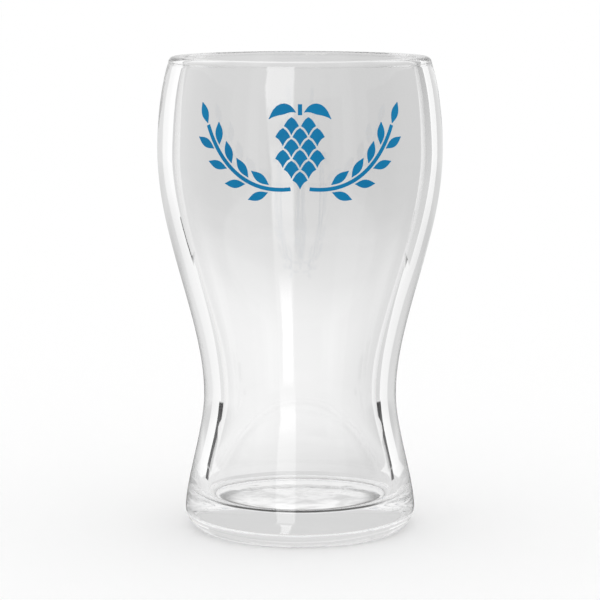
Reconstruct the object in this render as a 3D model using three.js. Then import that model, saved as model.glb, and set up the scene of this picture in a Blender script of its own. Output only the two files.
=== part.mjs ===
// A beer taster: a small footed glass with a drawn-in waist and a full bowl, pressed in one piece of
// clear glass, with an emblem of hops and barley printed on the bowl in blue enamel and fired on.
// Millimetres, +Z up. The origin is on the table, on the axis of the glass. The print faces -Y.
import * as THREE from "three";

// Outside of the glass. Each rise is measured from the level below it.
const footRadius = 25;
const footRise = 3.7;
const waistRadius = 20.85;
const waistRise = 25.3;
const bellyRadius = 30.65;
const bellyRise = 53;
const rimRadius = 28.2;
const rimRise = 18.6;
const rimSlope = 0.33;
const lipRound = 1.4;
const lipEdge = 0.7;

// Wall and floor. The foot's wall is measured at the floor, outwards to the widest part of the foot.
const lipWall = 3.6;
const bowlWall = 3.6;
const waistWall = 4.3;
const footWall = 4.7;
const floorThickness = 6.4;
const floorCorner = 2;

// Underside: a flat ring to stand on, inside a tucked-in heel and round a shallow hollow.
const heelTuck = 2.35;
const standingRing = 3.5;
const hollowDepth = 0.6;

// How far each end of a curve stays upright, as a share of its rise.
const heelEase = 0.52;
const footEase = 0.25;
const waistEase = 0.31;
const bellyEase = 0.36;
const rimEase = 0.24;

// Print: enamel of one thickness, and the bare glass kept between its shapes.
const enamelThickness = 0.12;
const enamelClearance = 0.04;
const inkGap = 0.4;
const tipWidth = 0.1;
const printDrop = 5.6;

// Hop cone: pointed bracts in staggered rows from the top down, with a stalk and two leaves.
const bractRows = [2, 3, 2, 3, 2, 1];
const bractWidth = 3.1;
const bractLength = 3.6;
const bractRoundness = 0.6;
const stalkLength = 2.2;
const stalkWidth = 0.9;
const leafLength = 5.6;
const leafWidth = 2.2;
const leafRaise = 0.55;
const leafArch = 2;
const leafDroop = 1.4;

// Barley ears: a bent stem with paired grains and one grain at its end, on each side of the cone.
const earReach = 18.4;
const earHeight = 12.6;
const earBend = 12;
const earSag = 1.5;
const bareStem = 4.6;
const stemWidth = 0.8;
const grainLength = 4.6;
const grainWidth = 1.75;
const grainTilt = 0.5;

// How finely the curves are drawn: steps along each wall and each rounded edge, sides round the glass,
// and the longest step along a stroke of the print.
const wallSteps = 7;
const edgeSteps = 4;
const sidesRound = 64;
const strokeStep = 0.45;
const stepsAcross = 2;

const clearGlass = new THREE.MeshStandardMaterial({
  color: 0xf1f5f4,
  roughness: 0.03,
  metalness: 0,
  transparent: true,
  opacity: 0.35,
});
const blueEnamel = new THREE.MeshStandardMaterial({ color: 0x0276aa, roughness: 0.4, metalness: 0 });

const glass = new THREE.Group();

// Points of the outline are given by radius and level.
const at = (radius, level) => new THREE.Vector2(radius, level);

const waistLevel = footRise + waistRise;
const bellyLevel = waistLevel + bellyRise;
const lipLevel = bellyLevel + rimRise;
const lipTop = lipLevel + lipRound;

// A wall between two points that is upright at both ends, or leans inwards at its upper end.
function wall(low, high, lowEase, highEase, lean = 0) {
  const rise = high.y - low.y;
  return new THREE.CubicBezierCurve(
    low,
    at(low.x, low.y + lowEase * rise),
    at(high.x + lean * highEase * rise, high.y - highEase * rise),
    high,
  );
}

// Outer walls, from the foot up.
const footEdge = at(footRadius, footRise);
const waist = at(waistRadius, waistLevel);
const belly = at(bellyRadius, bellyLevel);
const lipOutside = at(rimRadius, lipLevel);
const stemWall = wall(footEdge, waist, footEase, waistEase);
const bowlSide = wall(waist, belly, waistEase, bellyEase);
const shoulder = wall(belly, lipOutside, bellyEase, rimEase, rimSlope);

// The underside, from the axis out to the foot's edge.
const standingRadius = footRadius - heelTuck;
const hollowRadius = standingRadius - standingRing;
const hollow = new THREE.QuadraticBezierCurve(
  at(0, hollowDepth),
  at(hollowRadius, hollowDepth),
  at(hollowRadius, 0),
);
const heel = new THREE.QuadraticBezierCurve(
  at(standingRadius, 0),
  at(footRadius, heelEase * footRise),
  footEdge,
);

// The inside, whose walls keep the wall thickness from the outer ones.
const cornerRadius = footRadius - footWall;
const innerFoot = at(cornerRadius, floorThickness + floorCorner);
const innerWaist = at(waistRadius - waistWall, waistLevel);
const innerBelly = at(bellyRadius - bowlWall, bellyLevel);
const mouthRadius = rimRadius - lipWall;
const lipInside = at(mouthRadius, lipTop - lipEdge);
const innerStem = wall(innerFoot, innerWaist, footEase, waistEase);
const innerSide = wall(innerWaist, innerBelly, waistEase, bellyEase);
const innerShoulder = wall(innerBelly, lipInside, bellyEase, rimEase, rimSlope);

// A quarter of a circle about a centre, from one angle to another.
function arc(centre, radius, start, end) {
  return new THREE.EllipseCurve(centre.x, centre.y, radius, radius, start, end, end < start);
}

const lipOuterRound = arc(at(rimRadius - lipRound, lipLevel), lipRound, 0, Math.PI / 2);
const lipInnerRound = arc(at(mouthRadius + lipEdge, lipInside.y), lipEdge, Math.PI / 2, Math.PI);
const floorEdge = at(cornerRadius - floorCorner, floorThickness);
const corner = arc(at(floorEdge.x, innerFoot.y), floorCorner, 0, -Math.PI / 2);

// The whole profile, from the middle of the underside round the lip to the middle of the floor.
const profile = [
  ...hollow.getPoints(edgeSteps),
  ...heel.getPoints(edgeSteps),
  ...stemWall.getPoints(wallSteps).slice(1),
  ...bowlSide.getPoints(wallSteps).slice(1),
  ...shoulder.getPoints(wallSteps).slice(1),
  ...lipOuterRound.getPoints(edgeSteps).slice(1),
  ...lipInnerRound.getPoints(edgeSteps),
  ...innerShoulder.getPoints(wallSteps).reverse().slice(1),
  ...innerSide.getPoints(wallSteps).reverse().slice(1),
  ...innerStem.getPoints(wallSteps).reverse().slice(1),
  ...corner.getPoints(edgeSteps).slice(1),
  at(0, floorThickness),
];
const glassBody = new THREE.Mesh(new THREE.LatheGeometry(profile, sidesRound), clearGlass);
glassBody.name = "glass_body";
glassBody.rotation.x = Math.PI / 2;
glass.add(glassBody);

// The radius of the outer wall at a level, found by halving along the curve that passes it.
const halvings = 30;
function outsideRadius(level) {
  const curve = level < bellyLevel ? bowlSide : shoulder;
  let low = 0;
  let high = 1;
  for (let halving = 0; halving < halvings; halving++) {
    const middle = (low + high) / 2;
    if (curve.getPoint(middle).y < level) low = middle;
    else high = middle;
  }
  return curve.getPoint(low).x;
}

// One shape of the print: a stroke along a flat curve, with a width at each point of its length, laid on
// the bowl. Across is measured round the glass from its front, and up from the print's lower edge.
const printLevel = bellyLevel - printDrop;
function printStroke(name, curve, widthAt) {
  const stepsToMiddle = Math.ceil(curve.getLength() / 2 / strokeStep);
  const geometry = new THREE.BoxGeometry(1, 1, 1, 2 * stepsToMiddle, stepsAcross);
  const position = geometry.attributes.position;
  for (let i = 0; i < position.count; i++) {
    const along = position.getX(i) + 0.5;
    const aside = position.getY(i) * Math.max(widthAt(along), tipWidth);
    const proud = enamelClearance + enamelThickness * (position.getZ(i) + 0.5);
    const middle = curve.getPoint(along);
    const heading = curve.getTangent(along);
    const turn = (middle.x - heading.y * aside) / bellyRadius;
    const level = printLevel + middle.y + heading.x * aside;
    const radius = outsideRadius(level) + proud;
    position.setXYZ(i, radius * Math.sin(turn), -radius * Math.cos(turn), level);
  }
  const mesh = new THREE.Mesh(geometry, blueEnamel);
  mesh.name = "print_" + name;
  glass.add(mesh);
}

// A pointed shape, widest in the middle of its length.
const lens = (width) => (along) => width * Math.sin(Math.PI * along);

// A bract is round at the top and runs down to a point between the tops of the next row.
function bractWidthAt(along) {
  const half = along < 0.5 ? 2 * along : 2 * along - 1;
  const share = Math.pow(half, bractRoundness);
  return bractWidth * (along < 0.5 ? share : 1 - share);
}

const rowStep = bractLength / 2 + inkGap;
const coneTop = bractLength + rowStep * (bractRows.length - 1);
bractRows.forEach((count, row) => {
  const top = coneTop - row * rowStep;
  for (let place = 0; place < count; place++) {
    const across = (place - (count - 1) / 2) * (bractWidth + inkGap);
    const midrib = new THREE.LineCurve(at(across, top), at(across, top - bractLength));
    printStroke(`hop_bract_${row + 1}_${place + 1}`, midrib, bractWidthAt);
  }
});

const stalkFoot = coneTop + inkGap;
const stalk = new THREE.LineCurve(at(0, stalkFoot), at(0, stalkFoot + stalkLength));
printStroke("hop_stalk", stalk, () => stalkWidth);

for (const [side, sign] of [["left", -1], ["right", 1]]) {
  // A leaf springs from the foot of the stalk and arches over to its tip.
  const leafFoot = at(sign * (stalkWidth / 2 + inkGap), stalkFoot + leafRaise);
  const leafTip = at(leafFoot.x + sign * leafLength, leafFoot.y - leafDroop);
  const leafTop = at((leafFoot.x + leafTip.x) / 2, leafFoot.y + leafArch);
  const leafMidrib = new THREE.QuadraticBezierCurve(leafFoot, leafTop, leafTip);
  printStroke(`hop_leaf_${side}`, leafMidrib, lens(leafWidth));

  // The ear's line starts beside the tip of the cone, runs outwards and bends up.
  const earFoot = at(sign * (bractWidth / 2 + inkGap), 0);
  const ear = new THREE.QuadraticBezierCurve(
    earFoot,
    at(earFoot.x + sign * earBend, -earSag),
    at(earFoot.x + sign * earReach, earHeight),
  );
  const earLength = ear.getLength();
  const closestStep = (grainWidth + inkGap) / Math.sin(grainTilt);
  const pairs = Math.floor((earLength - bareStem) / closestStep);
  const grainStep = (earLength - bareStem) / pairs;
  printStroke(`barley_stem_${side}`, ear, () => stemWidth);

  // A grain starts beside the stem and leans away from it.
  for (let pair = 0; pair < pairs; pair++) {
    const share = (bareStem + pair * grainStep) / earLength;
    const foot = ear.getPointAt(share);
    const heading = ear.getTangentAt(share);
    for (const [edge, lean] of [["inner", sign], ["outer", -sign]]) {
      const aside = at(-heading.y, heading.x).multiplyScalar(lean * (stemWidth / 2 + inkGap));
      const start = foot.clone().add(aside);
      const growth = heading.clone().rotateAround(at(0, 0), lean * grainTilt).multiplyScalar(grainLength);
      const midline = new THREE.LineCurve(start, start.clone().add(growth));
      printStroke(`barley_grain_${side}_${edge}_${pair + 1}`, midline, lens(grainWidth));
    }
  }

  const endHeading = ear.getTangentAt(1);
  const endStart = ear.getPointAt(1).addScaledVector(endHeading, inkGap);
  const endLine = new THREE.LineCurve(endStart, endStart.clone().addScaledVector(endHeading, grainLength));
  printStroke(`barley_grain_${side}_end`, endLine, lens(grainWidth));
}

export default glass;
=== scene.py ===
# A beer taster: a small footed glass of clear pressed glass with a blue enamel emblem on its bowl.
# Lengths are in metres and angles in radians, +Z is up and the glass stands on Z = 0.
# The emblem faces -Y, towards the camera.
import math

import bmesh
import bpy
from mathutils import Matrix, Vector
from mathutils.geometry import interpolate_bezier


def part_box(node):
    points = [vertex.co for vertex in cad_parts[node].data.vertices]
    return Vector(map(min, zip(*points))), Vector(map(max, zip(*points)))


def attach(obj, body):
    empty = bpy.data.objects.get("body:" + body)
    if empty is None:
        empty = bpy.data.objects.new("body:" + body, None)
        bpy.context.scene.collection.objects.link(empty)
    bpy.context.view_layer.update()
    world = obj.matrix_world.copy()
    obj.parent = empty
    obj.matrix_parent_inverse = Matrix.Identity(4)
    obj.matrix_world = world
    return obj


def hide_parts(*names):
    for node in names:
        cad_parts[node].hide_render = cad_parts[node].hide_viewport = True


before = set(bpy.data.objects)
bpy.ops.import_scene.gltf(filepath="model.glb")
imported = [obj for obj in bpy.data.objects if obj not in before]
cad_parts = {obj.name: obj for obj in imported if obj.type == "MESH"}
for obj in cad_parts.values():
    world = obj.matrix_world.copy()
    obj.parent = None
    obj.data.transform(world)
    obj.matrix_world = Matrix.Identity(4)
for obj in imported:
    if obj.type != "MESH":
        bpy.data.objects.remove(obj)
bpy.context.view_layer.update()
scene = bpy.context.scene
scene.view_settings.view_transform = "Standard"

# Glass
# One piece of clear soda-lime glass, pressed in a mould and fire-polished, so that every edge is round.
# It stands on a narrow ring, has a thick foot and a drawn-in waist, and the bowl closes a little to the lip.
mm = 0.001
glass_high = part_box("glass_body")[1]
height = glass_high.z
belly_radius = glass_high.x
belly_level = 82 * mm
waist_radius = 20.85 * mm
waist_level = 29 * mm
foot_radius = 25 * mm
foot_level = 3.7 * mm
rim_radius = 28.2 * mm
rim_slope = 0.33
lip_wall = 3.6 * mm
lip_round = 1.4 * mm
lip_edge = 0.7 * mm
bowl_wall = 3.6 * mm
waist_wall = 4.3 * mm
foot_wall = 4.7 * mm
floor_level = 6.4 * mm
floor_corner = 2 * mm
standing_radius = 22.65 * mm
standing_ring = 3.5 * mm
hollow_depth = 0.6 * mm
heel_ease = 0.52
foot_ease = 0.25
waist_ease = 0.31
belly_ease = 0.36
rim_ease = 0.24
quarter_round = 0.5523
steps_round = 256
long_steps = 40
short_steps = 24
corner_steps = 10
weld_distance = 0.001 * mm


def curve(start, start_handle, end_handle, end, steps):
    """Points of a Bezier curve in the outline, each from a radius and a level, without the last one."""
    knots = [Vector((radius, 0, level)) for radius, level in (start, start_handle, end_handle, end)]
    return interpolate_bezier(*knots, steps + 1)[:-1]


def corner(start, tip, end, steps, pull=2 / 3):
    """A rounded corner from a start to an end, drawn towards its tip."""
    start_handle = [a + pull * (b - a) for a, b in zip(start, tip)]
    end_handle = [a + pull * (b - a) for a, b in zip(end, tip)]
    return curve(start, start_handle, end_handle, end, steps)


def wall(start, end, start_ease, end_ease, steps, start_lean=0, end_lean=0):
    """A wall that is upright at both ends, or leans there, from one end to the other."""
    rise = end[1] - start[1]
    start_handle = (start[0] - start_lean * start_ease * rise, start[1] + start_ease * rise)
    end_handle = (end[0] + end_lean * end_ease * rise, end[1] - end_ease * rise)
    return curve(start, start_handle, end_handle, end, steps)


hollow_radius = standing_radius - standing_ring
foot = (foot_radius, foot_level)
waist = (waist_radius, waist_level)
belly = (belly_radius, belly_level)
lip_outside = (rim_radius, height - lip_round)
lip_top = (rim_radius - lip_round, height)
mouth_radius = rim_radius - lip_wall
lip_flat = (mouth_radius + lip_edge, height)
lip_inside = (mouth_radius, height - lip_edge)
inner_belly = (belly_radius - bowl_wall, belly_level)
inner_waist = (waist_radius - waist_wall, waist_level)
inner_foot = (foot_radius - foot_wall, floor_level + floor_corner)
floor_edge = (inner_foot[0] - floor_corner, floor_level)
glass_outline = [
    *corner((0, hollow_depth), (hollow_radius, hollow_depth), (hollow_radius, 0), short_steps),
    Vector((hollow_radius, 0, 0)),
    *corner((standing_radius, 0), (foot_radius, heel_ease * foot_level), foot, corner_steps),
    *wall(foot, waist, foot_ease, waist_ease, short_steps),
    *wall(waist, belly, waist_ease, belly_ease, long_steps),
    *wall(belly, lip_outside, belly_ease, rim_ease, short_steps, end_lean=rim_slope),
    *corner(lip_outside, (rim_radius, height), lip_top, corner_steps, quarter_round),
    Vector((lip_top[0], 0, height)),
    *corner(lip_flat, (mouth_radius, height), lip_inside, corner_steps, quarter_round),
    *wall(lip_inside, inner_belly, rim_ease, belly_ease, short_steps, start_lean=rim_slope),
    *wall(inner_belly, inner_waist, belly_ease, waist_ease, long_steps),
    *wall(inner_waist, inner_foot, waist_ease, foot_ease, short_steps),
    *corner(inner_foot, (inner_foot[0], floor_level), floor_edge, corner_steps, quarter_round),
    Vector((floor_edge[0], 0, floor_level)),
    Vector((0, 0, floor_level)),
]


def new_piece(name, shape):
    """A new object from a finished bmesh."""
    mesh = bpy.data.meshes.new(name)
    shape.to_mesh(mesh)
    shape.free()
    piece = bpy.data.objects.new(name, mesh)
    scene.collection.objects.link(piece)
    return piece


def lathe(name, outline, steps):
    """An outline turned once round the axis of the glass."""
    shape = bmesh.new()
    points = [shape.verts.new(point) for point in outline]
    edges = [shape.edges.new(pair) for pair in zip(points, points[1:])]
    bmesh.ops.spin(shape, geom=points + edges, axis=(0, 0, 1), cent=(0, 0, 0),
                   angle=math.tau, steps=steps, use_merge=True)
    bmesh.ops.remove_doubles(shape, verts=shape.verts, dist=weld_distance)
    bmesh.ops.recalc_face_normals(shape, faces=shape.faces)
    for face in shape.faces:
        face.smooth = True
    return new_piece(name, shape)


class Value:
    """A socket in a node tree. Sums with values add Math nodes, and any other node comes from node()."""

    def __init__(self, socket):
        self.socket = socket
        self.tree = socket.id_data

    def node(self, kind, settings, inputs, output=0):
        """Adds a node, makes its settings, feeds its sockets and gives one of its outputs."""
        node = self.tree.nodes.new("ShaderNode" + kind)
        for name, setting in settings.items():
            setattr(node, name, setting)
        for name, given in inputs.items():
            feed(node.inputs[name], given)
        return Value(node.outputs[output])

    def math(self, operation, *numbers):
        """A Math node on numbers and values."""
        return self.node("Math", {"operation": operation}, dict(enumerate(numbers)))

    def fade(self, start, end, low=0, high=1):
        """Runs from low to high while this value runs from start to end, and stays level beyond them."""
        return self.node("MapRange", {}, {
            "Value": self, "From Min": start, "From Max": end, "To Min": low, "To Max": high})

    def parts(self):
        """The three numbers of a vector."""
        return [self.node("SeparateXYZ", {}, {0: self}, axis) for axis in "XYZ"]

    def __add__(self, other):
        return self.math("ADD", self, other)

    def __sub__(self, other):
        return self.math("SUBTRACT", self, other)

    def __rsub__(self, other):
        return self.math("SUBTRACT", other, self)

    def __mul__(self, other):
        return self.math("MULTIPLY", self, other)

    def __truediv__(self, other):
        return self.math("DIVIDE", self, other)

    def __rtruediv__(self, other):
        return self.math("DIVIDE", other, self)

    __radd__ = __add__
    __rmul__ = __mul__


def feed(socket, given):
    """Links a value to a socket, or sets the socket to a plain number or colour."""
    if isinstance(given, Value):
        given.tree.links.new(given.socket, socket)
    else:
        socket.default_value = given


def new_material(name):
    """A bare material, with its output node and its Object coordinates."""
    material = bpy.data.materials.new(name)
    material.use_nodes = True
    tree = material.node_tree
    tree.nodes.clear()
    output = tree.nodes.new("ShaderNodeOutputMaterial")
    place = Value(tree.nodes.new("ShaderNodeTexCoord").outputs["Object"])
    return material, output, place


def length(x, y):
    """How long a level line is. With the x and y of a place, it is how far the place is from the axis."""
    return x.math("SQRT", x * x + y * y)


glass = lathe("taster_glass", glass_outline, steps_round)

# The mould leaves the walls a little wavy, and the plunger leaves chill marks on the floor inside.
wave_scale = 45
wave_height = 0.12 * mm
chill_scale = 160
chill_height = 0.18 * mm
chill_fade = 0.6
floor_margin = 0.05 * mm
glass_index = 1.52
clear_glass, output, place = new_material("clear_glass")
x, y, level = place.parts()
on_floor = place.math("COMPARE", level, floor_level, floor_margin)
on_floor = on_floor * length(x, y).fade(floor_edge[0], chill_fade * floor_edge[0])
wave = place.node("TexNoise", {}, {"Vector": place, "Scale": wave_scale, "Detail": 1})
chill = place.node("TexNoise", {}, {"Vector": place, "Scale": chill_scale, "Detail": 2, "Distortion": 1})
relief = wave * (wave_height / mm) + on_floor * chill * (chill_height / mm)
surface = place.node("Bump", {}, {"Strength": 1, "Distance": mm, "Height": relief}, "Normal")
shine = place.node("BsdfPrincipled", {}, {
    "Base Color": (1, 1, 1, 1),
    "Roughness": 0,
    "IOR": glass_index,
    "Transmission Weight": 1,
    "Normal": surface,
})
shadow = place.node("LightPath", {}, {}, "Is Shadow Ray")
open_air = place.node("BsdfTransparent", {}, {})
feed(output.inputs["Surface"], place.node("MixShader", {}, {0: shadow, 1: shine, 2: open_air}))
glass.data.materials.append(clear_glass)
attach(glass, "root")
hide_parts("glass_body")

# Emblem
# A hop cone between two ears of barley, screen-printed on the bowl in one coat of blue enamel and fired on.
# Every bract, leaf, stem and grain is a separate print of even thickness, with bare glass between them.
thin_ink = (0.001, 0.195, 0.41, 1)
full_ink = (0.0003, 0.162, 0.36, 1)
ink_gloss = 0.12
ink_cloud_scale = 130
thin_cloud = 0.3
full_cloud = 0.7
thin_roughness = 0.58
full_roughness = 0.46
frit_scale = 2600
frit_height = 0.02 * mm
frit_strength = 0.3
frit_roughness = 0.1
blue_enamel, output, place = new_material("blue_enamel")
cloud = place.node("TexNoise", {}, {"Vector": place, "Scale": ink_cloud_scale, "Detail": 4})
frit = place.node("TexNoise", {}, {"Vector": place, "Scale": frit_scale, "Detail": 1})
coat = cloud.fade(thin_cloud, full_cloud)
# A Mix node takes two colours at its sockets 6 and 7, and gives the mixed one at 2.
ink = place.node("Mix", {"data_type": "RGBA"}, {0: coat, 6: thin_ink, 7: full_ink}, 2)
grain = place.node("Bump", {}, {
    "Strength": frit_strength, "Distance": frit_height, "Height": frit}, "Normal")
print_surface = place.node("BsdfPrincipled", {}, {
    "Base Color": ink,
    "Roughness": coat.fade(0, 1, thin_roughness, full_roughness) + frit_roughness * frit,
    "Specular IOR Level": ink_gloss,
    "Normal": grain,
})
feed(output.inputs["Surface"], print_surface)
for name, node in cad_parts.items():
    if name.startswith("print_"):
        node.data.materials.clear()
        node.data.materials.append(blue_enamel)

# Floor and sky
# A white table top and a white room of even tone, so that the glass stands in soft light.
# The table lies a hair below the glass, which leaves the standing ring its own shadow.
table_size = 4
table_gap = 0.05 * mm
table = bmesh.new()
bmesh.ops.create_grid(table, x_segments=1, y_segments=1, size=table_size)
bmesh.ops.translate(table, verts=table.verts, vec=(0, 0, -table_gap))
table_top = new_piece("table_top", table)
white_paper, output, place = new_material("white_paper")
feed(output.inputs["Surface"], place.node("BsdfDiffuse", {}, {"Color": (1, 1, 1, 1)}))
table_top.data.materials.append(white_paper)
world = bpy.data.worlds.new("white_room")
scene.world = world
world.use_nodes = True
feed(world.node_tree.nodes["Background"].inputs["Color"], (1, 1, 1, 1))
feed(world.node_tree.nodes["Background"].inputs["Strength"], 1)

# Sweep
# Grey paper that only shows through the glass: it lies on the table round the foot and turns up far away.
# Its glow is painted light: a soft pool of light behind the glass and one before it, and more at the left.
sweep_start = 30 * mm
sweep_radius = 1000 * mm
sweep_bend = 20 * mm
sweep_height = 300 * mm
above_table = 0.4 * mm
set_steps = 96
paper_tone = 0.68
pool_tone = 0.97
pool_distance = 200 * mm
pool_spread = 138 * mm
cloud_scale = 9
cloud_middle = 0.5
cloudiness = 0.9
side_light_spread = 0.4
left_light = 1.07
right_light = 0.9


def show_in_glass(piece, through):
    """Keeps a piece of the set out of the picture: the glass shows it, through its walls or mirrored."""
    piece.visible_camera = False
    piece.visible_diffuse = False
    piece.visible_shadow = False
    piece.visible_transmission = through
    piece.visible_glossy = not through


def sweep_outline(radius, top):
    """The outline of paper or cloth that lies round the foot and turns up at a radius."""
    return [
        Vector((sweep_start, 0, above_table)),
        Vector((radius - sweep_bend, 0, above_table)),
        Vector((radius, 0, sweep_bend)),
        Vector((radius, 0, top)),
    ]


sweep = lathe("sweep", sweep_outline(sweep_radius, sweep_height), set_steps)
show_in_glass(sweep, through=True)
sweep_paper, output, place = new_material("sweep_paper")
x, y = place.parts()[:2]
# Painted pools of light, made uneven by noise, and painted light stronger at the left.
off_pool = length(x, place.math("ABSOLUTE", y) - pool_distance) / pool_spread
cloud = place.node("TexNoise", {}, {"Vector": place, "Scale": cloud_scale, "Detail": 2})
off_pool = off_pool * (1 + cloudiness * (cloud - cloud_middle))
side_light = (x / length(x, y)).fade(-side_light_spread, side_light_spread, left_light, right_light)
tone = side_light * (paper_tone + (pool_tone - paper_tone) / (1 + off_pool * off_pool))
feed(output.inputs["Surface"], place.node("Emission", {}, {"Color": tone}))
sweep.data.materials.append(sweep_paper)

# Foot shadow
# A round of paper under the foot that only shows through the glass. Its glow is painted light, a little
# mottled under the hollow, and a painted shadow where the standing ring shuts out the light draws the line
# round the floor.
shadow_radius = 21.5 * mm
shadow_start = 14.5 * mm
shadow_full = 17.5 * mm
hollow_tone = 1
mottle_scale = 170
mottle_light = 0.42
mottle_dark = 0.62
mottle_depth = 0.3
ring_tone = 0.1
shadow_level = -table_gap / 2
shadow_outline = [Vector((0, 0, shadow_level)), Vector((shadow_radius, 0, shadow_level))]
foot_shadow = lathe("foot_shadow", shadow_outline, set_steps)
show_in_glass(foot_shadow, through=True)
shadow_paper, output, place = new_material("shadow_paper")
x, y = place.parts()[:2]
# Painted light under the hollow with painted grey patches, and a painted shadow under the standing ring.
mottle = place.node("TexNoise", {}, {"Vector": place, "Scale": mottle_scale, "Distortion": 1})
tone = length(x, y).fade(shadow_start, shadow_full, hollow_tone, ring_tone)
tone = tone * mottle.fade(mottle_light, mottle_dark, 1, 1 - mottle_depth)
feed(output.inputs["Surface"], place.node("Emission", {}, {"Color": tone}))
foot_shadow.data.materials.append(shadow_paper)

# Foot paper
# A low strip of grey paper that stands round the foot, close to its side, and only shows through the glass.
# Its grey glow is painted shade in place of the light of the room in the thick base, which then has one even
# tone.
strip_radius = 26 * mm
strip_low = 2.4 * mm
strip_high = 5.6 * mm
strip_grey = (0.7, 0.7, 0.7, 1)
strip_outline = [Vector((strip_radius, 0, strip_low)), Vector((strip_radius, 0, strip_high))]
foot_strip = lathe("foot_strip", strip_outline, set_steps)
show_in_glass(foot_strip, through=True)
strip_paper, output, place = new_material("strip_paper")
# Painted shade: the strip glows in an even grey.
feed(output.inputs["Surface"], place.node("Emission", {}, {"Color": strip_grey}))
foot_strip.data.materials.append(strip_paper)

# Bowl paper
# A curved sheet of grey paper close behind the bowl that only shows through the glass. Its glow gives the
# lip and the inside of the mouth the painted grey shade of the bowl, lighter at the left, and thins out to
# its lower edge and to its ends.
# It is made as a full round, and its material leaves it bare past its ends.
sheet_radius = 36 * mm
sheet_low = 58 * mm
sheet_full = 74 * mm
sheet_high = 101 * mm
sheet_end_turn = math.radians(62)
sheet_full_turn = math.radians(35)
sheet_left_tone = 0.69
sheet_right_tone = 0.63
sheet_outline = [Vector((sheet_radius, 0, sheet_low)), Vector((sheet_radius, 0, sheet_high))]
bowl_sheet = lathe("bowl_sheet", sheet_outline, set_steps)
show_in_glass(bowl_sheet, through=True)
sheet_paper, output, place = new_material("sheet_paper")
x, y, level = place.parts()
turn = place.math("ABSOLUTE", place.math("ARCTAN2", x, y))
thick = level.fade(sheet_low, sheet_full) * turn.fade(sheet_end_turn, sheet_full_turn)
# Painted light: the grey is lighter at the left.
tone = (x / length(x, y)).fade(-side_light_spread, side_light_spread, sheet_left_tone, sheet_right_tone)
grey = place.node("Emission", {}, {"Color": tone})
bare = place.node("BsdfTransparent", {}, {})
feed(output.inputs["Surface"], place.node("MixShader", {}, {0: thick, 1: bare, 2: grey}))
bowl_sheet.data.materials.append(sheet_paper)

# Cards
# Cards that stand at both sides of the glass, glow with painted tones and only show through it. White ones
# draw a painted bright band along its edges, grey ones painted shade inside the bowl, and narrow black ones
# the dark lines in the stem.
# Under each black one a dusk card leads over to white, and a low one near the glass carries the line on.
card_steps = 8
card_level = 2 * above_table
white_distance = 150 * mm
white_start = 60 * mm
white_height = 140 * mm
black_distance = 148 * mm
black_low = 6 * mm
black_full = 11 * mm
black_high = 33 * mm
low_distance = 80 * mm
low_height = 11 * mm
grey_distance = 100 * mm
grey_low = 28 * mm
left_white = 1.03
right_white = 1.02
dusk = 0.9
black = 0.02
white_card = [(white_start, card_level), (white_distance, card_level), (white_distance, white_height)]
dusk_card = [(black_distance, black_low), (black_distance, black_full)]
black_card = [(black_distance, black_full), (black_distance, black_high)]
low_card = [(low_distance, card_level), (low_distance, low_height)]
grey_card = [(grey_distance, grey_low), (grey_distance, white_height)]


def card(name, start, end, outline, foot_tone, top_tone):
    """A card bent round the glass, between two angles from its back in degrees, glowing in a painted tone
    graded from foot to top.
    """
    shape = bmesh.new()
    points = [shape.verts.new((0, distance, level)) for distance, level in outline]
    edges = [shape.edges.new(pair) for pair in zip(points, points[1:])]
    to_start = Matrix.Rotation(math.radians(-start), 3, "Z")
    bmesh.ops.rotate(shape, verts=points, cent=(0, 0, 0), matrix=to_start)
    bmesh.ops.spin(shape, geom=points + edges, axis=(0, 0, 1), cent=(0, 0, 0),
                   angle=math.radians(start - end), steps=card_steps)
    piece = new_piece(name, shape)
    show_in_glass(piece, through=True)
    card_paper, output, place = new_material(name)
    level = place.parts()[2]
    # The glow is the card's painted light or shade.
    tone = level.fade(outline[0][1], outline[-1][1], foot_tone, top_tone)
    feed(output.inputs["Surface"], place.node("Emission", {}, {"Color": tone}))
    piece.data.materials.append(card_paper)


card("white_left", -57, -33, white_card, left_white, left_white)
card("white_right", 34, 56, white_card, right_white, right_white)
card("white_left_front", -147, -123, white_card, left_white, left_white)
card("white_right_front", 124, 146, white_card, right_white, right_white)
card("dusk_left", -64, -53.5, dusk_card, dusk, black)
card("dusk_right", 54.5, 64, dusk_card, dusk, black)
card("black_left", -64, -53.5, black_card, black, black)
card("black_right", 54.5, 64, black_card, black, black)
card("low_left", -68, -61.5, low_card, black, black)
card("low_right", 62, 68, low_card, black, black)
card("grey_left", -72, -60, grey_card, foot_tone=0.8, top_tone=0.38)
card("grey_right", 53, 68, grey_card, foot_tone=0.75, top_tone=0.25)

# Surround
# Cloth round the table that the glass only mirrors, glowing in painted tones. It is dark beside the glass
# and light far behind it, which outlines its walls. A tall bright panel painted on it beside the camera
# gives the painted highlight, a strip of light down the front, dimmer in the stem, and a low one by the foot
# carries the strip on down the base.
cloth_radius = 620 * mm
cloth_height = 500 * mm
cloth_tone = 0.08
near_tone = 0.05
far_tone = 0.6
near_end = 190 * mm
far_start = 420 * mm
back_wall_tone = 0.15
side_angle = 1.9
back_angle = 1.2
lamp_left = math.radians(-150)
lamp_right = math.radians(-176)
lamp_edge = math.radians(2)
lamp_narrowing = math.radians(7)
lamp_height = 300 * mm
lamp_near = 60 * mm
lamp_far = 200 * mm
lamp_tone = 2.8
lamp_dim = 1.1
lamp_dim_start = 60 * mm
lamp_dim_full = 100 * mm
lamp_bright = 2
lamp_bright_start = 165 * mm
lamp_bright_full = 230 * mm
foot_lamp_left = math.radians(-160)
foot_lamp_right = math.radians(-174)
foot_lamp_near = 32 * mm
foot_lamp_end = 85 * mm
foot_lamp_far = 105 * mm
foot_lamp_tone = 4
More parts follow.
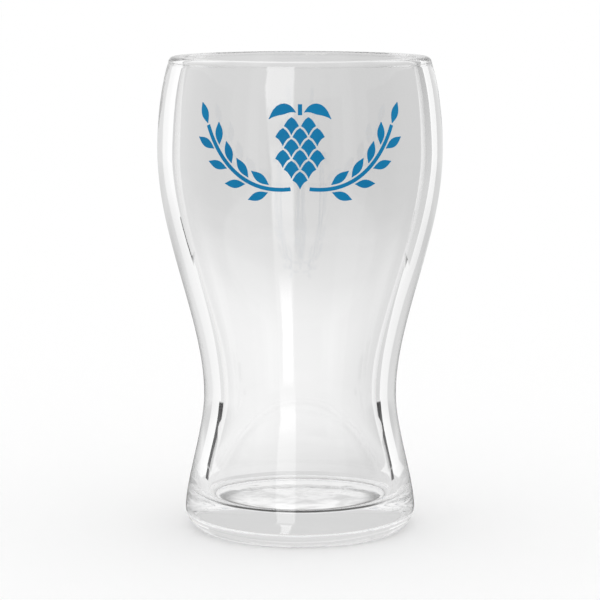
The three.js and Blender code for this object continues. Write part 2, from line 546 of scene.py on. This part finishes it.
surround = lathe("surround", sweep_outline(cloth_radius, cloth_height), set_steps)
show_in_glass(surround, through=False)
cloth, output, place = new_material("cloth")
x, y, level = place.parts()
turn = place.math("ARCTAN2", x, y)
distance = length(x, y)
upright = level.fade(0, sweep_bend)
behind = place.math("ABSOLUTE", turn).fade(side_angle, back_angle)
back_tone = behind * (distance.fade(near_end, far_start, near_tone, far_tone) + back_wall_tone * upright)
# The lamp here is a bright panel of painted light on the cloth, not a lamp.
lamp_side = turn + level.fade(lamp_height, 0, 0, lamp_narrowing)
lamp = lamp_side.fade(lamp_left, lamp_left - lamp_edge) * turn.fade(lamp_right, lamp_right + lamp_edge)
lamp = lamp * (distance.fade(lamp_near, lamp_far, 0, lamp_tone)
               - level.fade(lamp_dim_start, lamp_dim_full, 0, lamp_dim)
               + level.fade(lamp_bright_start, lamp_bright_full, 0, lamp_bright))
foot_lamp_side = turn + distance.fade(foot_lamp_far, foot_lamp_near, 0, lamp_narrowing)
foot_lamp = foot_lamp_side.fade(foot_lamp_left, foot_lamp_left - lamp_edge)
foot_lamp = foot_lamp * turn.fade(foot_lamp_right, foot_lamp_right + lamp_edge)
foot_lamp = foot_lamp * distance.fade(foot_lamp_far, foot_lamp_end, 0, foot_lamp_tone)
tone = cloth_tone + back_tone + lamp + foot_lamp
feed(output.inputs["Surface"], place.node("Emission", {}, {"Color": tone}))
surround.data.materials.append(cloth)

# Camera
# It looks at the emblem from a little above, with a long lens.
# Light may pass and turn many times inside the thick foot before it comes out, so the bounces are many.
camera_distance = 530 * mm
camera_level = 125 * mm
camera_pitch = 0.1418
frame_pixels = 600
focal_pixels = 2470
bounces = 96
lens = bpy.data.cameras.new("camera")
lens.lens = lens.sensor_width * focal_pixels / frame_pixels
camera = bpy.data.objects.new("camera", lens)
scene.collection.objects.link(camera)
camera.location = (0, -camera_distance, camera_level)
camera.rotation_euler = (math.pi / 2 - camera_pitch, 0, 0)
scene.camera = camera
scene.cycles.max_bounces = bounces
scene.cycles.diffuse_bounces = bounces
scene.cycles.glossy_bounces = bounces
scene.cycles.transmission_bounces = bounces
